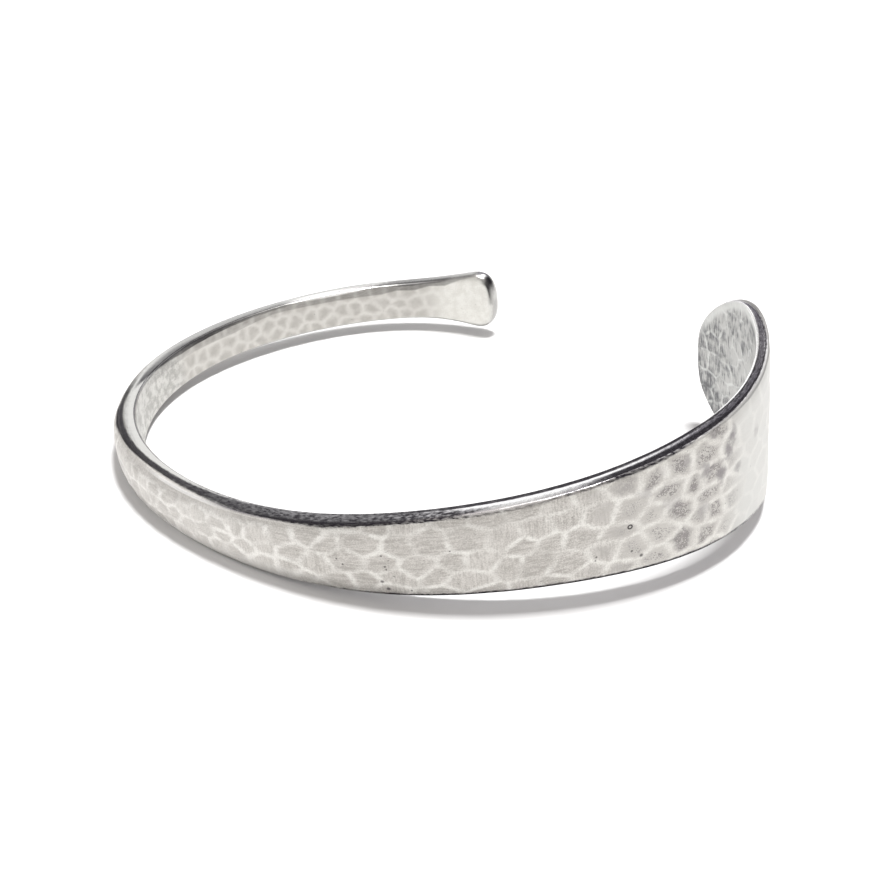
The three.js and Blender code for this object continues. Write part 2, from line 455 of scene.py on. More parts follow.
TARNISH_AND_SHADE = (
    # Behind on the left, on the inner corner.
    Streak((
        (24, 0.3, 1.5, 0.5, 0), (26.5, 0.3, 1.6, 0.5, 0.5), (31, 0.5, 1.6, 0.6, 0.58),
        (34, 0.75, 1.7, 0.8, 0.78), (38, 0.85, 1.8, 0.8, 0.93), (42, 0.35, 1.85, 0.65, 0.76),
        (46, 0.5, 1.5, 0.35, 0.74), (50, 0.58, 1, 0.12, 0.95), (52.5, 0.5, 0.6, 0.1, 0),
    )),
    # From the outer corner on the left, across the rim, to all of it in front.
    Streak((
        (48, -0.1, 0.3, 0.12, 0), (50.5, -0.1, 0.35, 0.12, 0.5), (52.5, -0.35, 0.3, 0.12, 0.92),
        (55, -0.8, 0.16, 0.12, 0.97), (58, -0.8, 0.16, 0.1, 0.97), (62, -0.45, 0.28, 0.1, 0.97),
        (66, -0.08, 0.46, 0.1, 0.97), (70, 0.14, 0.68, 0.1, 0.97), (74, 0.14, 0.8, 0.1, 0.96),
        (78, 0.02, 0.88, 0.15, 0.94), (84, -0.22, 1.05, 0.12, 0.91), (90, -0.6, 1.15, 0.15, 0.91),
        (96, -0.45, 1.1, 0.15, 0.9), (100, -0.45, 0.84, 0.15, 0.78), (104, 0.02, 0.32, 0.12, 0.78),
        (108, 0.22, 0.42, 0.12, 0.6), (110, 0.24, 0.42, 0.12, 0.4), (112, 0.3, 0.44, 0.1, 0.3),
        (113.5, -0.2, 0.46, 0.12, 0.45), (115.5, -0.45, 0.47, 0.12, 0.92),
        (120, -0.42, 0.48, 0.12, 0.88), (124, -0.12, 0.5, 0.12, 0.85), (128, 0, 0.4, 0.1, 0.88),
        (132, 0.12, 0.36, 0.1, 0.92), (136, 0.08, 0.3, 0.1, 0.9), (140, 0, 0.26, 0.1, 0.85),
        (144, 0.2, 0.6, 0.2, 0.5), (147, 0.3, 0.6, 0.2, 0),
    )),
    # The inner corner, in front and on the right.
    Streak((
        (72, 0.9, 1.2, 0.06, 0), (80, 0.86, 1.3, 0.06, 0.6), (88, 0.82, 1.4, 0.06, 0.93),
        (98, 0.72, 1.45, 0.05, 0.98), (104, 0.62, 1.5, 0.05, 1), (112, 0.63, 1.5, 0.05, 1),
        (122, 0.74, 1.5, 0.05, 1), (125, 0.8, 1.4, 0.05, 1), (128, 0.82, 1.02, 0.05, 0.95),
        (137, 0.86, 0.98, 0.05, 0.85), (141, 0.86, 0.96, 0.05, 0.5), (144, 0.86, 0.96, 0.05, 0),
    )),
    # Greyer along the middle of the rim on the right.
    Streak((
        (124, 0.3, 0.85, 0.1, 0), (127, 0.3, 0.85, 0.1, 0.4), (136, 0.3, 0.9, 0.1, 0.3),
        (142, 0.3, 0.9, 0.1, 0.25), (145, 0.3, 0.9, 0.1, 0),
    )),
    # The outer corner in front: above, and along the bottom edge, where it is a painted contact
    # shadow.
    Streak((
        (79, -0.15, 0.05, 0.08, 0), (84, -0.25, 0.08, 0.08, 0.93), (90, -0.5, 0.02, 0.08, 0.95),
        (96, -0.44, -0.05, 0.08, 0.93), (100, -0.46, -0.2, 0.08, 0.62),
        (104, -0.56, -0.38, 0.06, 0.55), (109, -0.54, -0.36, 0.06, 0.42),
        (111, -0.44, -0.1, 0.08, 0.55), (116, -0.44, 0, 0.08, 0.88),
    )),
    Streak((
        (86, -0.56, -0.24, 0.08, 0), (96, -0.56, -0.24, 0.08, 0.95), (122, -0.56, -0.24, 0.08, 0.95),
        (130, -0.54, -0.26, 0.08, 0.6), (140, -0.5, -0.3, 0.08, 0),
    ), Edge.LOWER),
    # Behind, towards the tip: a fine line outside and a grey shade inside.
    Streak((
        (14, -0.15, 0.2, 0.12, 0), (17, -0.15, 0.2, 0.12, 0.45), (23, -0.05, 0.25, 0.12, 0.4),
        (28, 0, 0.3, 0.12, 0),
    )),
    Streak((
        (1.8, 0.4, 1.6, 0.3, 0.3), (4.5, 0, 1.75, 0.4, 0.4), (6, -0.1, 2.1, 0.4, 0.46),
        (8, -0.2, 1.85, 0.4, 0.48), (10, -0.2, 2.2, 0.4, 0.48), (12, 0, 2, 0.4, 0.44),
        (14, 0.7, 2.3, 0.4, 0.38), (16, 1.3, 2.3, 0.3, 0.36), (18, 1.5, 2.25, 0.15, 0.36),
        (22, 1.55, 2.2, 0.15, 0.34), (25, 1.4, 2.1, 0.15, 0.32), (28, 1.25, 2, 0.2, 0.3),
        (34, 1.3, 2.6, 0.2, 0.24), (46, 1.3, 2.4, 0.2, 0.2), (52, 1.3, 2.2, 0.2, 0),
    )),
    Streak((
        (24, -0.4, 0.9, 0.2, 0), (27, -0.4, 0.9, 0.2, 0.42), (34, -0.4, 0.9, 0.2, 0.48),
        (41, -0.4, 0.6, 0.2, 0.38), (46, -0.4, 0.4, 0.2, 0),
    )),
    Streak((
        (3.5, 0.75, 1.55, 0.12, 0), (6, 0.75, 1.55, 0.12, 0.76), (11.5, 0.75, 1.55, 0.12, 0.76),
        (14.5, 0.95, 1.55, 0.12, 0),
    )),
    # The corner of the tip.
    Streak((
        (0.1, 0.1, 1.6, 0.3, 0.18), (0.3, 0.2, 1.7, 0.3, 0.45), (0.45, 0, 2, 0.3, 0.93),
        (0.8, 0.1, 1.9, 0.3, 0.9), (1.05, 0.8, 2, 0.2, 0.5), (1.8, 0.6, 1.8, 0.2, 0.3),
    )),
    Streak((
        (0, 0.1, 1.6, 0.3, 0.18), (1.2, 0.3, 1.5, 0.3, 0.18), (2.5, 0.6, 1.2, 0.3, 0),
    ), Edge.LOWER),
)

# Where the rim is satin like the outer face, with the same columns.
SATIN = (
    Streak((
        (55, -1.2, -0.5, 0.35, 0), (58, -1.2, -0.5, 0.35, 0.9), (63, -1.2, -0.25, 0.35, 0.95),
        (67, -1.2, 0, 0.35, 0.95), (71, -1.2, 0.14, 0.35, 0.95), (76, -1.2, 0.06, 0.35, 0.85),
        (81, -1.2, -0.3, 0.35, 0.5), (84, -1.2, -0.4, 0.35, 0),
    )),
    Streak((
        (105, -0.8, -0.5, 0.2, 0), (110, -0.8, -0.32, 0.2, 0.9), (116, -0.8, -0.05, 0.2, 0.95),
        (120, -1, -0.05, 0.3, 0.95), (124, -1.2, -0.05, 0.35, 0.95), (128, -1.2, 0.02, 0.35, 0.9),
        (132, -1.2, 0.1, 0.35, 0.9), (136, -1.2, 0.05, 0.35, 0.8), (139, -1.2, -0.02, 0.35, 0.7),
        (142, -1.2, 0.2, 0.35, 0.8), (145, -1.2, 0.55, 0.35, 0.9), (148, -1.2, 1, 0.35, 0.8),
        (151, -1.2, 1, 0.35, 0),
    )),
)

# Painted highlights on the rim and its corners, with the same columns.
PAINTED_HIGHLIGHTS = (
    Streak((
        (67, -0.5, -0.25, 0.08, 0), (71, -0.46, -0.12, 0.08, 0.6), (77, -0.46, -0.14, 0.08, 0.6),
        (81, -0.5, -0.25, 0.08, 0),
    )),
    Streak((
        (124.5, 1.1, 1.46, 0.05, 0), (127, 1.06, 1.46, 0.05, 0.9), (132, 1.04, 1.45, 0.05, 0.95),
        (141, 1.02, 1.43, 0.05, 0.95), (144, 1, 1.36, 0.05, 0.9), (148, 1, 1.3, 0.05, 0),
    )),
    Streak((
        (101, 0.4, 0.62, 0.08, 0), (104, 0.4, 0.58, 0.08, 0.7), (108, 0.42, 0.58, 0.08, 0.85),
        (112, 0.44, 0.6, 0.08, 0.9), (116, 0.48, 0.66, 0.08, 0.9), (120, 0.54, 0.7, 0.08, 0.7),
        (124, 0.6, 0.74, 0.08, 0),
    )),
    Streak((
        (103, 0.2, 0.58, 0.2, 0), (106, -0.2, 0.58, 0.12, 0.6), (109, -0.12, 0.58, 0.12, 0.7),
        (112.5, 0.06, 0.6, 0.1, 0.6), (114.5, 0.3, 0.62, 0.1, 0),
    )),
    Streak((
        (14.5, 0.9, 1.2, 0.15, 0), (17, 0.75, 1.45, 0.15, 0.9), (20, 0.6, 1.55, 0.15, 0.9),
        (23, 0.6, 1.45, 0.15, 0.8), (27, 0.8, 1.1, 0.15, 0),
    )),
    Streak((
        (0.95, 0.1, 1.2, 0.2, 0), (1.2, -0.1, 1.5, 0.2, 0.95), (1.9, -0.1, 1.5, 0.2, 0.95),
        (2.2, 0.2, 1.3, 0.2, 0),
    )),
)


@dataclass(frozen=True)
class Pit:
    """A small pit in the outer face; a ring leaves its middle clear."""

    along: float
    across: float
    radius: float
    ring: bool = False


PITS = (
    Pit(116.4, -0.15, 0.26, True), Pit(116.5, -2.75, 0.12),
    Pit(117.35, -3.5, 0.17), Pit(95.2, -2.05, 0.16),
    Pit(95.6, -2.95, 0.2), Pit(97.6, -3.15, 0.1),
    Pit(101.2, 0.9, 0.08), Pit(91.4, 0.2, 0.09),
    Pit(91.9, -0.35, 0.1), Pit(95.4, 0.7, 0.09),
    Pit(95.6, -0.45, 0.1), Pit(95.7, -0.75, 0.08),
    Pit(113.3, -2.3, 0.1), Pit(113.2, -2.65, 0.08),
)


@dataclass(frozen=True)
class Blot:
    """A soft violet stain on the outer face, longer across than along."""

    along: float
    across: float
    reach_along: float
    reach_across: float
    depth: float


BLOTS = (
    Blot(127.7, 4.3, 0.6, 1.0, 0.9), Blot(127.0, 3.0, 0.6, 0.9, 0.85),
    Blot(126.0, 1.2, 0.6, 1.2, 0.85), Blot(125.3, 5.6, 0.6, 0.5, 0.6),
    Blot(131.8, 2.6, 0.5, 0.6, 0.35), Blot(122.0, 4.2, 0.8, 0.6, 0.5),
    Blot(124.1, 2.4, 0.8, 0.9, 0.6), Blot(128.4, 0.7, 0.5, 0.7, 0.6),
    Blot(123.8, -1.4, 0.7, 1.1, 0.5), Blot(120.5, 0.6, 0.9, 0.8, 0.4),
    Blot(118.0, 2.9, 0.8, 0.6, 0.4),
)


# --- Shader graphs ---


class Signal:
    """A number on its way through a node graph; arithmetic adds Math nodes."""

    def __init__(self, graph: "Graph", socket: bpy.types.NodeSocket) -> None:
        """Wraps an output socket of the graph."""
        self.graph = graph
        self.socket = socket

    def _math(self, operation: str, *values: "Signal | float") -> "Signal":
        """Adds one Math node on the given values."""
        settings = {"operation": operation}
        return self.graph.node("ShaderNodeMath", settings, dict(enumerate(values)))

    def __add__(self, other: "Signal | float") -> "Signal":
        """Sum, on either side of a number."""
        return self._math("ADD", self, other)

    __radd__ = __add__

    def __sub__(self, other: "Signal | float") -> "Signal":
        """Difference."""
        return self._math("SUBTRACT", self, other)

    def __rsub__(self, other: float) -> "Signal":
        """Difference from a number on the left."""
        return self._math("SUBTRACT", other, self)

    def __mul__(self, other: "Signal | float") -> "Signal":
        """Product, on either side of a number."""
        return self._math("MULTIPLY", self, other)

    __rmul__ = __mul__

    def __truediv__(self, other: "Signal | float") -> "Signal":
        """Quotient."""
        return self._math("DIVIDE", self, other)

    def __pow__(self, other: float) -> "Signal":
        """Power."""
        return self._math("POWER", self, other)

    def ramp(self, start: float, end: float) -> "Signal":
        """0 at start and 1 at end, smooth between them; start may be the larger."""
        inputs = {"Value": self, "From Min": start, "From Max": end}
        return self.graph.node("ShaderNodeMapRange", {"interpolation_type": "SMOOTHSTEP"}, inputs)

    def within(self, start: float, full: float, falling: float, end: float) -> "Signal":
        """1 from full to falling, and 0 before start and after end."""
        return self.ramp(start, full) * self.ramp(end, falling)

    def least(self, other: "Signal | float") -> "Signal":
        """The smaller of two."""
        return self._math("MINIMUM", self, other)

    def most(self, other: "Signal | float") -> "Signal":
        """The larger of two."""
        return self._math("MAXIMUM", self, other)


Colour = tuple[float, float, float]
Settings = dict[str, object]
Sockets = dict[int | str, object]


class Graph:
    """Adds nodes to a node tree, from left to right."""

    def __init__(self, tree: bpy.types.NodeTree) -> None:
        """Empties the tree and starts a graph in it."""
        tree.nodes.clear()
        self.tree = tree

    def raw(self, kind: str, settings: Settings, inputs: Sockets) -> bpy.types.Node:
        """Adds a node, sets it up and joins its inputs.

        Args:
            kind: The node's type.
            settings: Its own settings, set first.
            inputs: Values or links by socket name or number.

        Returns:
            The node.
        """
        node = self.tree.nodes.new(kind)
        node.location = (180 * len(self.tree.nodes), 0)
        for name, value in settings.items():
            setattr(node, name, value)
        for name, value in inputs.items():
            if isinstance(value, Signal):
                self.tree.links.new(value.socket, node.inputs[name])
            elif isinstance(value, tuple) and node.inputs[name].type == "RGBA":
                node.inputs[name].default_value = (*value, 1.0)
            else:
                node.inputs[name].default_value = value
        return node

    def node(
        self, kind: str, settings: Settings, inputs: Sockets, output: int | str = 0
    ) -> Signal:
        """Adds a node as raw() does and returns one of its outputs."""
        return Signal(self, self.raw(kind, settings, inputs).outputs[output])

    def attribute(self, name: str, output: str = "Fac") -> Signal:
        """Reads one of the mesh's own attributes."""
        return self.node("ShaderNodeAttribute", {"attribute_name": name}, {}, output)

    def mix(self, share: Signal, low: Signal | Colour, high: Signal | Colour) -> Signal:
        """Blends two colours; share 0 gives low and 1 gives high."""
        settings = {"data_type": "RGBA"}
        return self.node("ShaderNodeMix", settings, {0: share, 6: low, 7: high}, 2)

    def layers(self, base: Signal, *coats: tuple[Signal, Signal | Colour]) -> Signal:
        """Lays coats of colour over one another.

        Args:
            base: The colour underneath.
            coats: The share and the colour of each coat, the lowest first.

        Returns:
            The colour on top.
        """
        for share, colour in coats:
            base = self.mix(share, base, colour)
        return base

    def surface(self, inputs: Sockets) -> None:
        """Ends a material's graph in one principled surface."""
        shader = self.node("ShaderNodeBsdfPrincipled", {}, inputs)
        self.raw("ShaderNodeOutputMaterial", {}, {"Surface": shader})

    def noise(self, where: Signal, stretch: Colour, scale: float, detail: float) -> Signal:
        """Cloudy noise around one half, stretched by a Mapping node.

        Args:
            where: The place that it is read at.
            stretch: What each direction is multiplied by.
            scale: How fine it is, for each millimetre.
            detail: How many finer layers it has.

        Returns:
            The noise.
        """
        mapped = self.node("ShaderNodeMapping", {}, {"Vector": where, "Scale": stretch})
        inputs = {"Vector": mapped, "Scale": scale, "Detail": detail, "Roughness": 0.55}
        return self.node("ShaderNodeTexNoise", {}, inputs)


# --- Finishes ---


def new_material(name: str) -> tuple[bpy.types.Material, Graph]:
    """Starts a material.

    Args:
        name: What it is called.

    Returns:
        The material, and the empty graph of its nodes.
    """
    material = bpy.data.materials.new(name)
    material.use_nodes = True
    return material, Graph(material.node_tree)


@dataclass(frozen=True)
class PlanishedSilver:
    """Worn sterling: satin in the blows, brighter on the crests, polished rims, with painted
    highlights and painted shade.
    """

    name: str = "planished_silver"
    deep: Colour = (0.38, 0.362, 0.338)
    shallow: Colour = (0.60, 0.58, 0.55)
    crest: Colour = (0.73, 0.72, 0.685)
    pale: Colour = (0.655, 0.642, 0.612)
    # Painted shade for the satin corner on the right.
    shaded: Colour = (0.15, 0.146, 0.14)
    stained: Colour = (0.24, 0.225, 0.222)
    violet: Colour = (0.26, 0.245, 0.25)
    # Painted reflection of the floor near the wide end.
    painted_sheen: Colour = (0.60, 0.602, 0.583)
    # Painted light for the lower and the left front face.
    painted_foot_light: Colour = (0.88, 0.87, 0.84)
    back_ground: Colour = (0.575, 0.56, 0.53)
    back_oval: Colour = (0.45, 0.435, 0.408)
    bare_dark: Colour = (0.40, 0.395, 0.375)
    bare_light: Colour = (0.64, 0.635, 0.61)
    tip: Colour = (0.76, 0.755, 0.72)
    tip_shade: Colour = (0.66, 0.65, 0.61)
    leaf_deep: Colour = (0.165, 0.167, 0.173)
    leaf_shallow: Colour = (0.52, 0.52, 0.505)
    leaf_crest: Colour = (0.66, 0.67, 0.65)
    rim: Colour = (0.60, 0.585, 0.60)
    dull_rim: Colour = (0.485, 0.48, 0.465)
    # White of the painted highlights on the rim and its corners.
    bright: Colour = (0.93, 0.93, 0.92)
    # Near black: oxide in the pits and specks, and the tarnish and painted shade on the rims.
    oxide_and_shade: Colour = (0.014, 0.012, 0.016)

    def _pits(self, along: Signal, across: Signal, inner: Signal) -> Signal:
        """Darkness of the small pits in the outer face.

        Args:
            along: Distance from the tip.
            across: Distance from the middle line.
            inner: 0 on the outer face and 1 on the inner one.

        Returns:
            1 in the middle of a pit, less round it and 0 elsewhere.
        """
        total = inner * 0
        for pit in PITS:
            square = (along - pit.along) ** 2 + (across - pit.across) ** 2
            far = square**0.5 / pit.radius
            spot = far.within(0.3, 0.6, 0.7, 1.2) if pit.ring else far.ramp(1.4, 0.4) * 0.8
            total = total.most(spot)
        return total * (1 - inner)

    def _blots(self, along: Signal, across: Signal, ragged: Signal) -> Signal:
        """Darkness of the soft stains.

        Args:
            along: Distance from the tip.
            across: Distance from the middle line.
            ragged: Noise around nought, which frays their edges.

        Returns:
            A stain's depth in its middle, fading to 0 round it.
        """
        total = ragged * 0
        for blot in BLOTS:
            aside = (along - blot.along) / blot.reach_along
            above = (across - blot.across) / blot.reach_across
            far = (aside**2 + above**2) ** 0.5 + ragged * 2.5
            total = total.most(far.ramp(1.3, 0.2) * blot.depth)
        return total

    def _face(self, graph: Graph, strip: Signal, inner: Signal) -> dict[str, Signal]:
        """Colour and fine relief of the two broad faces.

        Args:
            graph: Where the nodes go.
            strip: The place on the flat strip.
            inner: 0 on the outer face and 1 on the inner one.

        Returns:
            Signals named colour, crest, relief and grain.
        """
        split = graph.raw("ShaderNodeSeparateXYZ", {}, {"Vector": strip})
        along, across = (Signal(graph, split.outputs[name]) for name in "XY")
        names = ("crest_gap", "blow_tone", "beaten", "round_edge")
        gap, tone, beaten, edge = (graph.attribute(name) for name in names)
        even = (1, 1, 1)
        ragged = graph.noise(strip, even, 1.7, 3) - 0.5
        strength = graph.noise(strip, even, 0.5, 2).ramp(0.36, 0.62)
        lengthwise = graph.noise(strip, (0.7, 6.5, 1), 1, 3)
        crosswise = graph.noise(strip, (6.5, 0.7, 1), 1, 3)
        turned = tone.ramp(0.45, 0.6)
        hatch = lengthwise * (1 - turned) + crosswise * turned - 0.5
        cloud = graph.noise(strip, even, 0.35, 3) - 0.5
        blotch = graph.noise(strip, even, 1.1, 3) - 0.5
        grain = graph.noise(strip, even, 8, 2) - 0.5
        specks = graph.noise(strip, even, 2.4, 1).ramp(0.755, 0.8)

        # Where on the band: the leaf and the back inside, the rest outside.
        leaf = inner * along.ramp(110, 125)
        back = inner * along.ramp(110, 80)
        outer = 1 - inner
        soft = outer * along.ramp(100, 84)
        # Painted light on the lower front face, which faces down towards the floor's shadow.
        painted_foot_light = outer * across.ramp(-1.1, -2.4) * along.ramp(94, 78)
        right = along.within(106, 118, 132, 140)
        stained = along.within(110, 120, 134, 146) * outer
        # Painted reflection: lighter and evener towards the wide end, where the outer face turns
        # away and shows the pale floor.
        light = along.ramp(125, 130.5) * (along.ramp(143, 133.5) * 0.52 + 0.38)
        light = light * outer * (1 - tone * 0.22)
        margin = leaf * edge.ramp(2.4, 1.7) * across.ramp(1.5, 5)

        # What the blows look like inside, one kind for each of those places.
        shade = tone * 0.35 + 0.32 + cloud * 0.7 + blotch * 0.9 + hatch * 2 + grain * 2.4
        shade = shade + right * (blotch * 1.6 + grain * 3.4 + hatch * 1.2 + ragged * 1.4)
        shade = shade.ramp(-0.25, 1.25)
        heart = (gap + ragged * 0.9).ramp(0.1, 0.7) * along.ramp(130, 126.5)
        heart = heart * (tone * 0.7 + blotch * 2.4 + grain * 5 + hatch).ramp(0, 0.75)
        oval = (gap + ragged * 0.5).ramp(0.02, 0.7) * (0.85 + blotch * 1.8)
        upright = tone * 0.3 + 0.3 + cloud + blotch * 2 + crosswise * 2.4 - 1.2
        upright = upright + along.ramp(153, 147) * across.ramp(8.5, 2) * 0.45
        patchy = (shade + blotch * 2.4 + cloud * 1.2 + grain).ramp(0, 1)
        cloudy = (blotch * 2 + grain * 2 + 0.5).ramp(0.1, 0.9)
        tip = graph.mix(cloudy, self.tip_shade, self.tip)
        bare = graph.mix(patchy, self.bare_dark, self.bare_light)
        cells = graph.layers(
            graph.mix(shade, self.deep, self.shallow),
            (painted_foot_light * 0.8, self.painted_foot_light),
            (stained * 0.45, self.pale),
            (stained * heart * 0.92, self.stained),
            # painted light over the front towards the left
            (along.ramp(92, 76) * outer * 0.2, self.painted_foot_light),
            (light, self.painted_sheen),
            (back, graph.mix(oval, self.back_ground, self.back_oval)),
            (leaf, graph.mix(upright.ramp(0, 1), self.leaf_deep, self.leaf_shallow)),
            ((1 - beaten) * inner, graph.mix(along.ramp(20, 10), bare, tip)),
        )

        crest = (gap + ragged * (0.42 + soft * 0.2)) * (leaf * 0.6 + 1 - soft * 0.3)
        crest = crest.ramp(0.33, 0) * (strength * 0.7 + 0.3) * beaten * (1 - soft * 0.3)
        share = crest * (0.85 + grain * 1.5) * (1 - back * 0.7) * (1 - light * 0.75)
        share = share * (1 - leaf * 0.1) * (1 - stained * 0.25)
        # Crests in front on the left take the painted light colour.
        ridge = graph.mix(outer * along.ramp(96, 80), self.crest, self.painted_foot_light)
        dark = (specks * 0.4).most(self._pits(along, across, inner) * 0.92)
        colour = graph.layers(
            cells,
            (share, graph.mix(leaf, ridge, self.leaf_crest)),
            (self._blots(along, across, blotch) * outer, self.violet),
            (margin * 0.85, self.leaf_crest),
            (dark, self.oxide_and_shade),
        )
        relief = hatch * 0.8 + grain * 0.5 + blotch * 0.5
        return {"colour": colour, "crest": crest, "relief": relief, "grain": grain}

    def make(self) -> bpy.types.Material:
        """Builds the material.

        Returns:
            The material, which reads the band's own attributes.
        """
        material, graph = new_material(self.name)
        strip = graph.attribute("strip", "Vector")
        along = graph.node("ShaderNodeSeparateXYZ", {}, {"Vector": strip}, "X")
        names = ("rim", "tarnish", "bright", "satin", "round_edge")
        rim, tarnish, bright, satin, edge = (graph.attribute(name) for name in names)
        face = self._face(graph, strip, graph.attribute("inner"))
        grain, crest = face["grain"], face["crest"]

        mottle = graph.noise(strip, (0.6, 2.2, 2.2), 3.4, 4) - 0.5
        uneven = along.ramp(45, 80) * 7 + 1.5 + along.within(94, 99, 102, 106) * 5
        spots = along.within(80, 90, 116, 126) * 0.34
        # Tarnish and painted shade on the rim, mottled unevenly along the band.
        mottled_tarnish_shade = tarnish + mottle * tarnish * ((1 - tarnish) * uneven + spots)
        mottled_tarnish_shade = mottled_tarnish_shade.most(0).least(1)
        # Painted shade on the satin corner on the right, where it faces the overhead light.
        shaded = satin * along.ramp(118, 128) * edge.ramp(-0.46, -0.12) * 0.95
        colour = graph.layers(
            face["colour"],
            (shaded, self.shaded),
            (rim, graph.mix(along.ramp(74, 86), self.dull_rim, self.rim)),
            (mottled_tarnish_shade, self.oxide_and_shade),
            # painted highlights on top
            (bright, self.bright),
        )

        black = mottled_tarnish_shade.ramp(0.92, 1)
        rough = 0.44 - crest * 0.08 + grain * 0.15
        rough = rough * (1 - rim) + rim * (0.17 + grain * 0.12)
        rough = rough + satin * 0.2 + black * 0.3 + mottled_tarnish_shade * along.ramp(34, 20) * 0.2
        streaks = graph.noise(strip, (0.6, 5, 5), 1, 3)
        dents = graph.noise(strip, (1, 1, 1), 1.8, 2)
        relief = face["relief"] * (1 - rim) + rim * (streaks + dents * 1.4)
        bump = {"Strength": 0.6, "Distance": 0.02 * MM, "Height": relief}
        graph.surface(
            {
                "Base Color": colour,
                "Metallic": (0.72 + rim * 0.28) * (1 - black * 0.8),
                "Roughness": rough,
                "Specular IOR Level": 0.1,
                "Normal": graph.node("ShaderNodeBump", {}, bump),
            }
        )
        return material


@dataclass(frozen=True)
class Paper:
    """Plain pale paper under the bangle."""

    name: str = "pale_paper"
    colour: Colour = (0.74, 0.74, 0.74)

    def make(self) -> bpy.types.Material:
        """Builds the material.

        Returns:
            The material.
        """
        material, graph = new_material(self.name)
        graph.surface({"Base Color": self.colour, "Roughness": 0.9, "Specular IOR Level": 0.1})
        return material


# --- The band ---


def placed(name: str, data: bpy.types.ID) -> bpy.types.Object:
    """Puts a new object in the scene.

    Args:
        name: What the object is called.
        data: Its mesh, lamp or camera.

    Returns:
        The object.
    """
    thing = bpy.data.objects.new(name, data)
    bpy.context.scene.collection.objects.link(thing)
    return thing


# What the silver reads at each point of the band, besides its place on the strip.
ATTRIBUTES = "tarnish satin bright round_edge crest_gap blow_tone beaten rim inner".split()


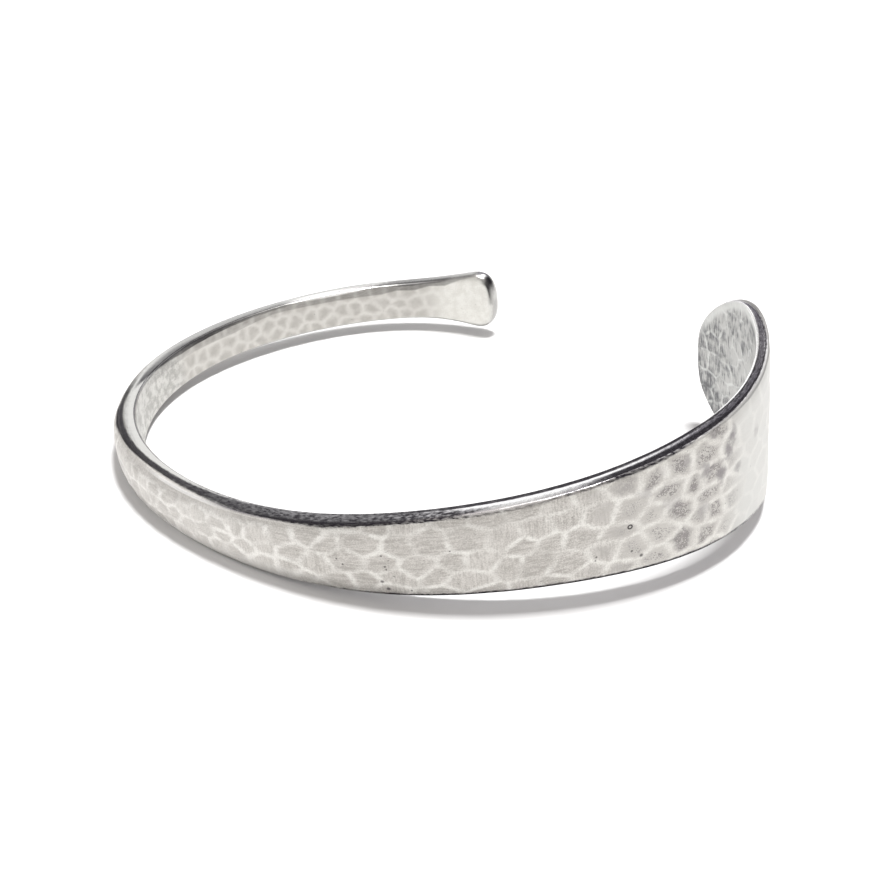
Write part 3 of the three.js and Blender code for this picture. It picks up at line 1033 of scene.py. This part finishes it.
@dataclass
class Band:
    """The whole bangle: one forged band, laid down as it rests by itself."""

    strip: Strip = field(default_factory=Strip)
    inside: InsideLine = field(default_factory=InsideLine)
    outer_hammer: Hammer = field(default_factory=Hammer)
    inner_hammer: Hammer = field(
        default_factory=lambda: Hammer(
            along_pitch=2.1,
            across_pitch=1.9,
            wander=0.3,
            bowl_radius=13.0,
            seed=8,
            finer=1.1,
            finer_until=(90.0, 120.0),
        )
    )
    finish: PlanishedSilver = field(default_factory=PlanishedSilver)
    tilt_about_x: float = -0.99
    tilt_about_y: float = -5.55
    wear: float = 0.08
    face_rows: int = 32
    arris_rows: int = 7
    rim_rows: int = 10
    rim_crown: float = 0.03
    polished_off: float = 0.006
    # Where the hammering sets in from the tip, on each face.
    outer_starts: tuple[float, float] = (1.0, 4.0)
    inner_starts: tuple[float, float] = (5.0, 10.0)
    # A bare patch inside and a straight corner outside: from, to and fade.
    bare_patch: tuple[float, float, float] = (44.0, 62.0, 3.0)
    straight_corner: tuple[float, float, float] = (50.0, 84.0, 12.0)
    # There the blows fade in from the middle line up, and from the edge inwards.
    fade_up: tuple[float, float] = (0.0, 0.3)
    fade_inwards: tuple[float, float] = (0.05, 0.5)
    # From this share of rim on, a point isn't beaten at all.
    rim_share: float = 0.999

    def _ribs(self) -> dict[str, Array]:
        """Lines of points over the outer face, round the rim and back inside.

        A face point lies between the middle line and the shoulder by its row,
        and an outer one is rim + dome * (1 - row^4) above the inside. A corner
        is a quarter circle of the arris radius, and the rim between the
        corners is a shallow bow. All of the outside is set in by what the
        polishing takes off.

        Returns:
            Arrays of one line per rib: along, across, depth, to_edge, rim,
            side, and round_edge as the streaks measure it.
        """
        loop = self.strip.closed_edge()
        ahead, behind = np.roll(loop, -1, 0), np.roll(loop, 1, 0)
        way = (ahead - behind) / np.linalg.norm(ahead - behind, axis=1)[:, None]
        outward = np.stack([-way[:, 1], way[:, 0]], -1)
        arris = self.strip.column("arris", loop[:, 0])[:, None]
        thick = self.strip.column("rim", loop[:, 0])[:, None] - self.polished_off
        shoulder = loop - outward * arris
        middle = np.stack([self.strip.middle(loop[:, 0]), np.zeros(len(loop))], -1)

        rows = np.linspace(0, 1, self.face_rows + 1)[None, :-1]
        reach = middle[:, None] + (shoulder - middle)[:, None] * rows[..., None]
        rim_here, dome_here = (
            self.strip.column(name, reach[..., 0].ravel()).reshape(reach.shape[:2])
            for name in ("rim", "dome")
        )
        face_depth = rim_here + dome_here * (1 - rows**4) - self.polished_off

        turn = np.linspace(0, math.pi / 2, self.arris_rows + 1)[None, :]
        corner_reach = (arris - self.rim_crown) * np.sin(turn)
        corner = shoulder[:, None] + outward[:, None] * corner_reach[..., None]
        corner_fall = arris * (1 - np.cos(turn))
        across_rim = np.linspace(0, 1, self.rim_rows + 1)[None, 1:-1]
        bow = self.rim_crown * (2 * across_rim - 1) ** 2
        flat = loop[:, None] - outward[:, None] * bow[..., None]
        flat_depth = (thick - arris) + across_rim * (2 * arris - thick)
        back = slice(None, None, -1)
        place = np.concatenate([reach, corner, flat, corner[:, back], reach[:, back]], 1)
        reach_length = np.linalg.norm(shoulder - middle, axis=1)[:, None]
        past_corner = (1 - turn / (math.pi / 2)) * arris * (math.pi / 2)
        past_face = (1 - rows) * reach_length + arris * (math.pi / 2)
        face_none, corner_none = 0 * rows, 0 * turn
        face_all, corner_all, rim_all = face_none + 1, corner_none + 1, 0 * across_rim + 1
        turned = np.sin(turn) ** 2
        # Each from the middle of the outside, over corner, rim and corner, to the inside.
        parts = {
            "depth": (face_depth, thick - corner_fall, flat_depth, corner_fall[:, back], face_none),
            "row": (rows, corner_all, rim_all, corner_all, rows[:, back]),
            "rim": (face_none, turned, rim_all, turned[:, back], face_none),
            "side": (face_none, corner_none, across_rim, corner_all, face_all),
            "round_edge": (
                -past_face,
                -past_corner,
                across_rim,
                1 + past_corner[:, back],
                1 + past_face[:, back],
            ),
        }
        every_rib = np.ones((len(loop), 1))
        ribs = {
            name: np.concatenate([every_rib * part for part in five], 1)
            for name, five in parts.items()
        }
        ribs["to_edge"] = (1 - ribs.pop("row")) * reach_length
        return ribs | {"along": place[..., 0], "across": place[..., 1]}

    def _beaten(self, along: Array, side: Side) -> Array:
        """How strongly a face is hammered along the strip.

        Args:
            along: Distances from the tip.
            side: The face.

        Returns:
            From 0, where it is bare, to 1.
        """
        if side is Side.OUTER:
            return smooth_step(along, *self.outer_starts)
        return smooth_step(along, *self.inner_starts) * (1 - between(along, *self.bare_patch))

    def _hammered(self, ribs: dict[str, Array]) -> dict[str, Array]:
        """Beats both faces: sinks the blows and notes crests and tones.

        The blows fade out round the corners: their depth is multiplied by
        the beaten share and by 1 - rim.

        Args:
            ribs: The lines of points from _ribs().

        Returns:
            Arrays sunk, crest_gap, blow_tone and beaten, of the ribs' shape;
            sunk is the depth with the blows in it.
        """
        shape = ribs["along"].shape
        sunk = ribs["depth"].copy()
        gap = np.full(shape, NO_CREST)
        tone = np.full(shape, EVEN_TONE)
        beaten = np.zeros(shape)
        work = {Side.OUTER: self.outer_hammer, Side.INNER: self.inner_hammer}
        for side, hammer in work.items():
            here = (ribs["side"] == side.value) & (ribs["rim"] < self.rim_share)
            along, across = ribs["along"][here], ribs["across"][here]
            blows = hammer.read(along, across)
            share = self._beaten(along, side) * (1 - ribs["rim"][here])
            if side is Side.OUTER:
                straight = between(along, *self.straight_corner)
                straight = straight * smooth_step(across, *self.fade_up)
                from_edge = smooth_step(ribs["to_edge"][here], *self.fade_inwards)
                share = share * (1 - straight * (1 - from_edge))
            inwards = -1.0 if side is Side.OUTER else 1.0
            sunk[here] += inwards * blows.depth * share
            gap[here], tone[here], beaten[here] = blows.crest, blows.tone, share
        return {"sunk": sunk, "crest_gap": gap, "blow_tone": tone, "beaten": beaten}

    def _laid_down(self, points: Array) -> Array:
        """Tilts the band as it rests, centres it and wears its lowest edge flat.

        Args:
            points: The bent band, its middle plane level.

        Returns:
            The points as the band lies, over the origin.
        """
        a, b = math.radians(self.tilt_about_x), math.radians(self.tilt_about_y)
        about_x = np.array(
            [[1, 0, 0], [0, math.cos(a), -math.sin(a)], [0, math.sin(a), math.cos(a)]]
        )
        about_y = np.array(
            [[math.cos(b), 0, math.sin(b)], [0, 1, 0], [-math.sin(b), 0, math.cos(b)]]
        )
        turned = points @ (about_y @ about_x).T
        low, high = turned.min(0), turned.max(0)
        middle = (low + high) / 2
        turned -= (middle[0], middle[1], low[2] + self.wear)
        turned[:, 2] = np.maximum(turned[:, 2], 0.0)
        return turned

    def _numbers(self, ribs: int, rows: int) -> tuple[Array, Array]:
        """Numbers the vertices; both halves of the loop share the middle line.

        Args:
            ribs: How many lines of points there are.
            rows: How many points each line has.

        Returns:
            Which of all points are kept, and the kept number of each point.
        """
        number = np.arange(ribs * rows).reshape(ribs, rows)
        upper = ribs // 2 + 1
        lower = np.arange(upper, ribs)
        for shared in (0, rows - 1):
            number[lower, shared] = number[ribs - lower, shared]
        kept, packed = np.unique(number, return_inverse=True)
        return kept, packed.reshape(ribs, rows)

    def build(self) -> bpy.types.Object:
        """Makes the closed mesh with its attributes and dresses it.

        Each point of the strip is bent round the wrist: its place is the
        inside line's point plus the outward normal times its depth, and its
        height is its distance across the strip plus the lift.

        Returns:
            The finished object.
        """
        ribs = self._ribs()
        ribs |= self._hammered(ribs)
        kept, here = self._numbers(*ribs["along"].shape)
        points, normals = self.inside.place(ribs["along"].ravel())
        flat = points + normals * ribs["sunk"].reshape(-1, 1)
        height = ribs["across"].ravel() + self.inside.lift(points)
        laid = self._laid_down(np.column_stack([flat, height])[kept]) * MM

        there = np.roll(here, -1, 0)
        corners = np.stack([here[:, :-1], there[:, :-1], there[:, 1:], here[:, 1:]], -1)
        corners = corners.reshape(-1, 4)
        mesh = bpy.data.meshes.new("hammered_band")
        mesh.from_pydata(laid.tolist(), [], corners.tolist())
        mesh.validate()
        mesh.shade_smooth()
        where = (ribs["along"], ribs["across"], ribs["round_edge"])
        # Tarnish with painted shade, satin, and painted highlights, read along the edges.
        for name, streaks in (("tarnish", TARNISH_AND_SHADE), ("satin", SATIN), ("bright", PAINTED_HIGHLIGHTS)):
            ribs[name] = np.max([streak.read(*where) for streak in streaks], axis=0)
        ribs["rim"] = ribs["rim"] * (1 - ribs["satin"])
        ribs["inner"] = ribs["side"]
        for name in ATTRIBUTES:
            layer = mesh.attributes.new(name, "FLOAT", "POINT")
            layer.data.foreach_set("value", ribs[name].ravel()[kept].astype("f4"))
        through = ribs["side"] * 2 + ribs["depth"]
        strip = np.stack([ribs["along"], ribs["across"], through], -1).reshape(-1, 3)
        layer = mesh.attributes.new("strip", "FLOAT_VECTOR", "POINT")
        layer.data.foreach_set("vector", strip[kept].astype("f4").ravel())
        mesh.materials.append(self.finish.make())
        band = placed("hammered_band", mesh)
        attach(band, "root")
        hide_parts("band")
        LOG.info("band: %d points, %d faces", len(laid), len(corners))
        return band


# --- The studio ---


@dataclass
class Studio:
    """Pale floor, soft light from above and behind, and the camera."""

    floor_radius: float = 3.0
    floor_corners: int = 96
    paper: Paper = field(default_factory=Paper)
    camera_place: tuple[float, float, float] = (0.000652, -0.128701, 0.074479)
    camera_down: float = 29.965
    lens: float = 56.3
    sensor_width: float = 36.0
    clip: tuple[float, float] = (0.005, 50.0)
    lamp_place: tuple[float, float, float] = (0.07, 0.038, 0.65)
    lamp_size: float = 0.13
    lamp_power: float = 5.3
    ceiling: Colour = (0.74, 0.70, 0.68)
    walls: Colour = (0.24, 0.23, 0.26)
    near_walls: Colour = (0.74, 0.72, 0.70)
    screen: Colour = (0.72, 0.71, 0.70)
    window: Colour = (1.6, 1.6, 1.6)
    skylight: Colour = (1.7, 1.7, 1.7)
    horizon: Colour = (0.95, 0.95, 0.95)

    def floor(self) -> bpy.types.Object:
        """A wide level disc at the height that the bangle lies on.

        Returns:
            The floor object.
        """
        angle = np.linspace(0, 2 * math.pi, self.floor_corners, endpoint=False)
        ring = np.column_stack([np.cos(angle), np.sin(angle), np.zeros_like(angle)])
        mesh = bpy.data.meshes.new("floor")
        mesh.from_pydata((ring * self.floor_radius).tolist(), [], [list(range(len(ring)))])
        mesh.materials.append(self.paper.make())
        floor = placed("floor", mesh)
        return floor

    def camera(self) -> bpy.types.Object:
        """The camera, looking along +Y and down.

        Returns:
            The camera, which the scene looks through.
        """
        lens = bpy.data.cameras.new("camera")
        lens.sensor_width = self.sensor_width
        lens.lens = self.lens
        lens.clip_start, lens.clip_end = self.clip
        camera = placed("camera", lens)
        camera.location = self.camera_place
        camera.rotation_euler = (math.radians(90 - self.camera_down), 0.0, 0.0)
        bpy.context.scene.camera = camera
        return camera

    def lamp(self) -> bpy.types.Object:
        """The round light overhead, facing straight down.

        Returns:
            The lamp.
        """
        light = bpy.data.lights.new("overhead", "AREA")
        light.shape = "DISK"
        light.size = self.lamp_size
        light.energy = self.lamp_power
        lamp = placed("overhead", light)
        lamp.location = self.lamp_place
        return lamp

    def room(self) -> bpy.types.World:
        """A pale ceiling and horizon, dark walls, a screen, a window and a skylight.

        Directions are read as elevation above the floor and as the turn to the
        right of +Y, both in degrees.

        Returns:
            The world.
        """
        world = bpy.data.worlds.new("studio")
        world.use_nodes = True
        graph = Graph(world.node_tree)
        way = graph.node("ShaderNodeTexCoord", {}, {}, "Generated")
        split = graph.raw("ShaderNodeSeparateXYZ", {}, {"Vector": way})
        x, y, z = (Signal(graph, split.outputs[name]) for name in "XYZ")
        degrees = 180 / math.pi
        height = graph.node("ShaderNodeMath", {"operation": "ARCSINE"}, {0: z}) * degrees
        turn = graph.node("ShaderNodeMath", {"operation": "ARCTAN2"}, {0: x, 1: y}) * degrees
        walls = graph.mix(y.ramp(0.1, -0.3), self.walls, self.near_walls)
        window = turn.within(-23, -19, -5.5, -2.5) * height.within(2, 4, 33, 37)
        skylight = turn.within(16, 20, 50, 54) * height.within(32, 35, 63, 66)
        colour = graph.layers(
            graph.mix(height.ramp(6, 11), self.horizon, walls),
            (turn.within(-48, -40, -11, -8) * height.ramp(4, 8), self.screen),
            (window, self.window),
            (height.ramp(50, 58), self.ceiling),
            (skylight, self.skylight),
        )
        sky = graph.node("ShaderNodeBackground", {}, {"Color": colour})
        graph.raw("ShaderNodeOutputWorld", {}, {"Surface": sky})
        bpy.context.scene.world = world
        return world

    def build(self) -> None:
        """Sets up floor, camera and lights, and plain tone mapping."""
        self.floor()
        self.camera()
        self.lamp()
        self.room()
        bpy.context.scene.view_settings.view_transform = "Standard"
        bpy.context.scene.view_settings.look = "None"
        LOG.info("studio: floor, camera, overhead light")


def main() -> None:
    """Builds the studio and the band."""
    logging.basicConfig(level=logging.INFO, format="%(name)s: %(message)s")
    Studio().build()
    Band().build()


if __name__ == "__main__":
    main()
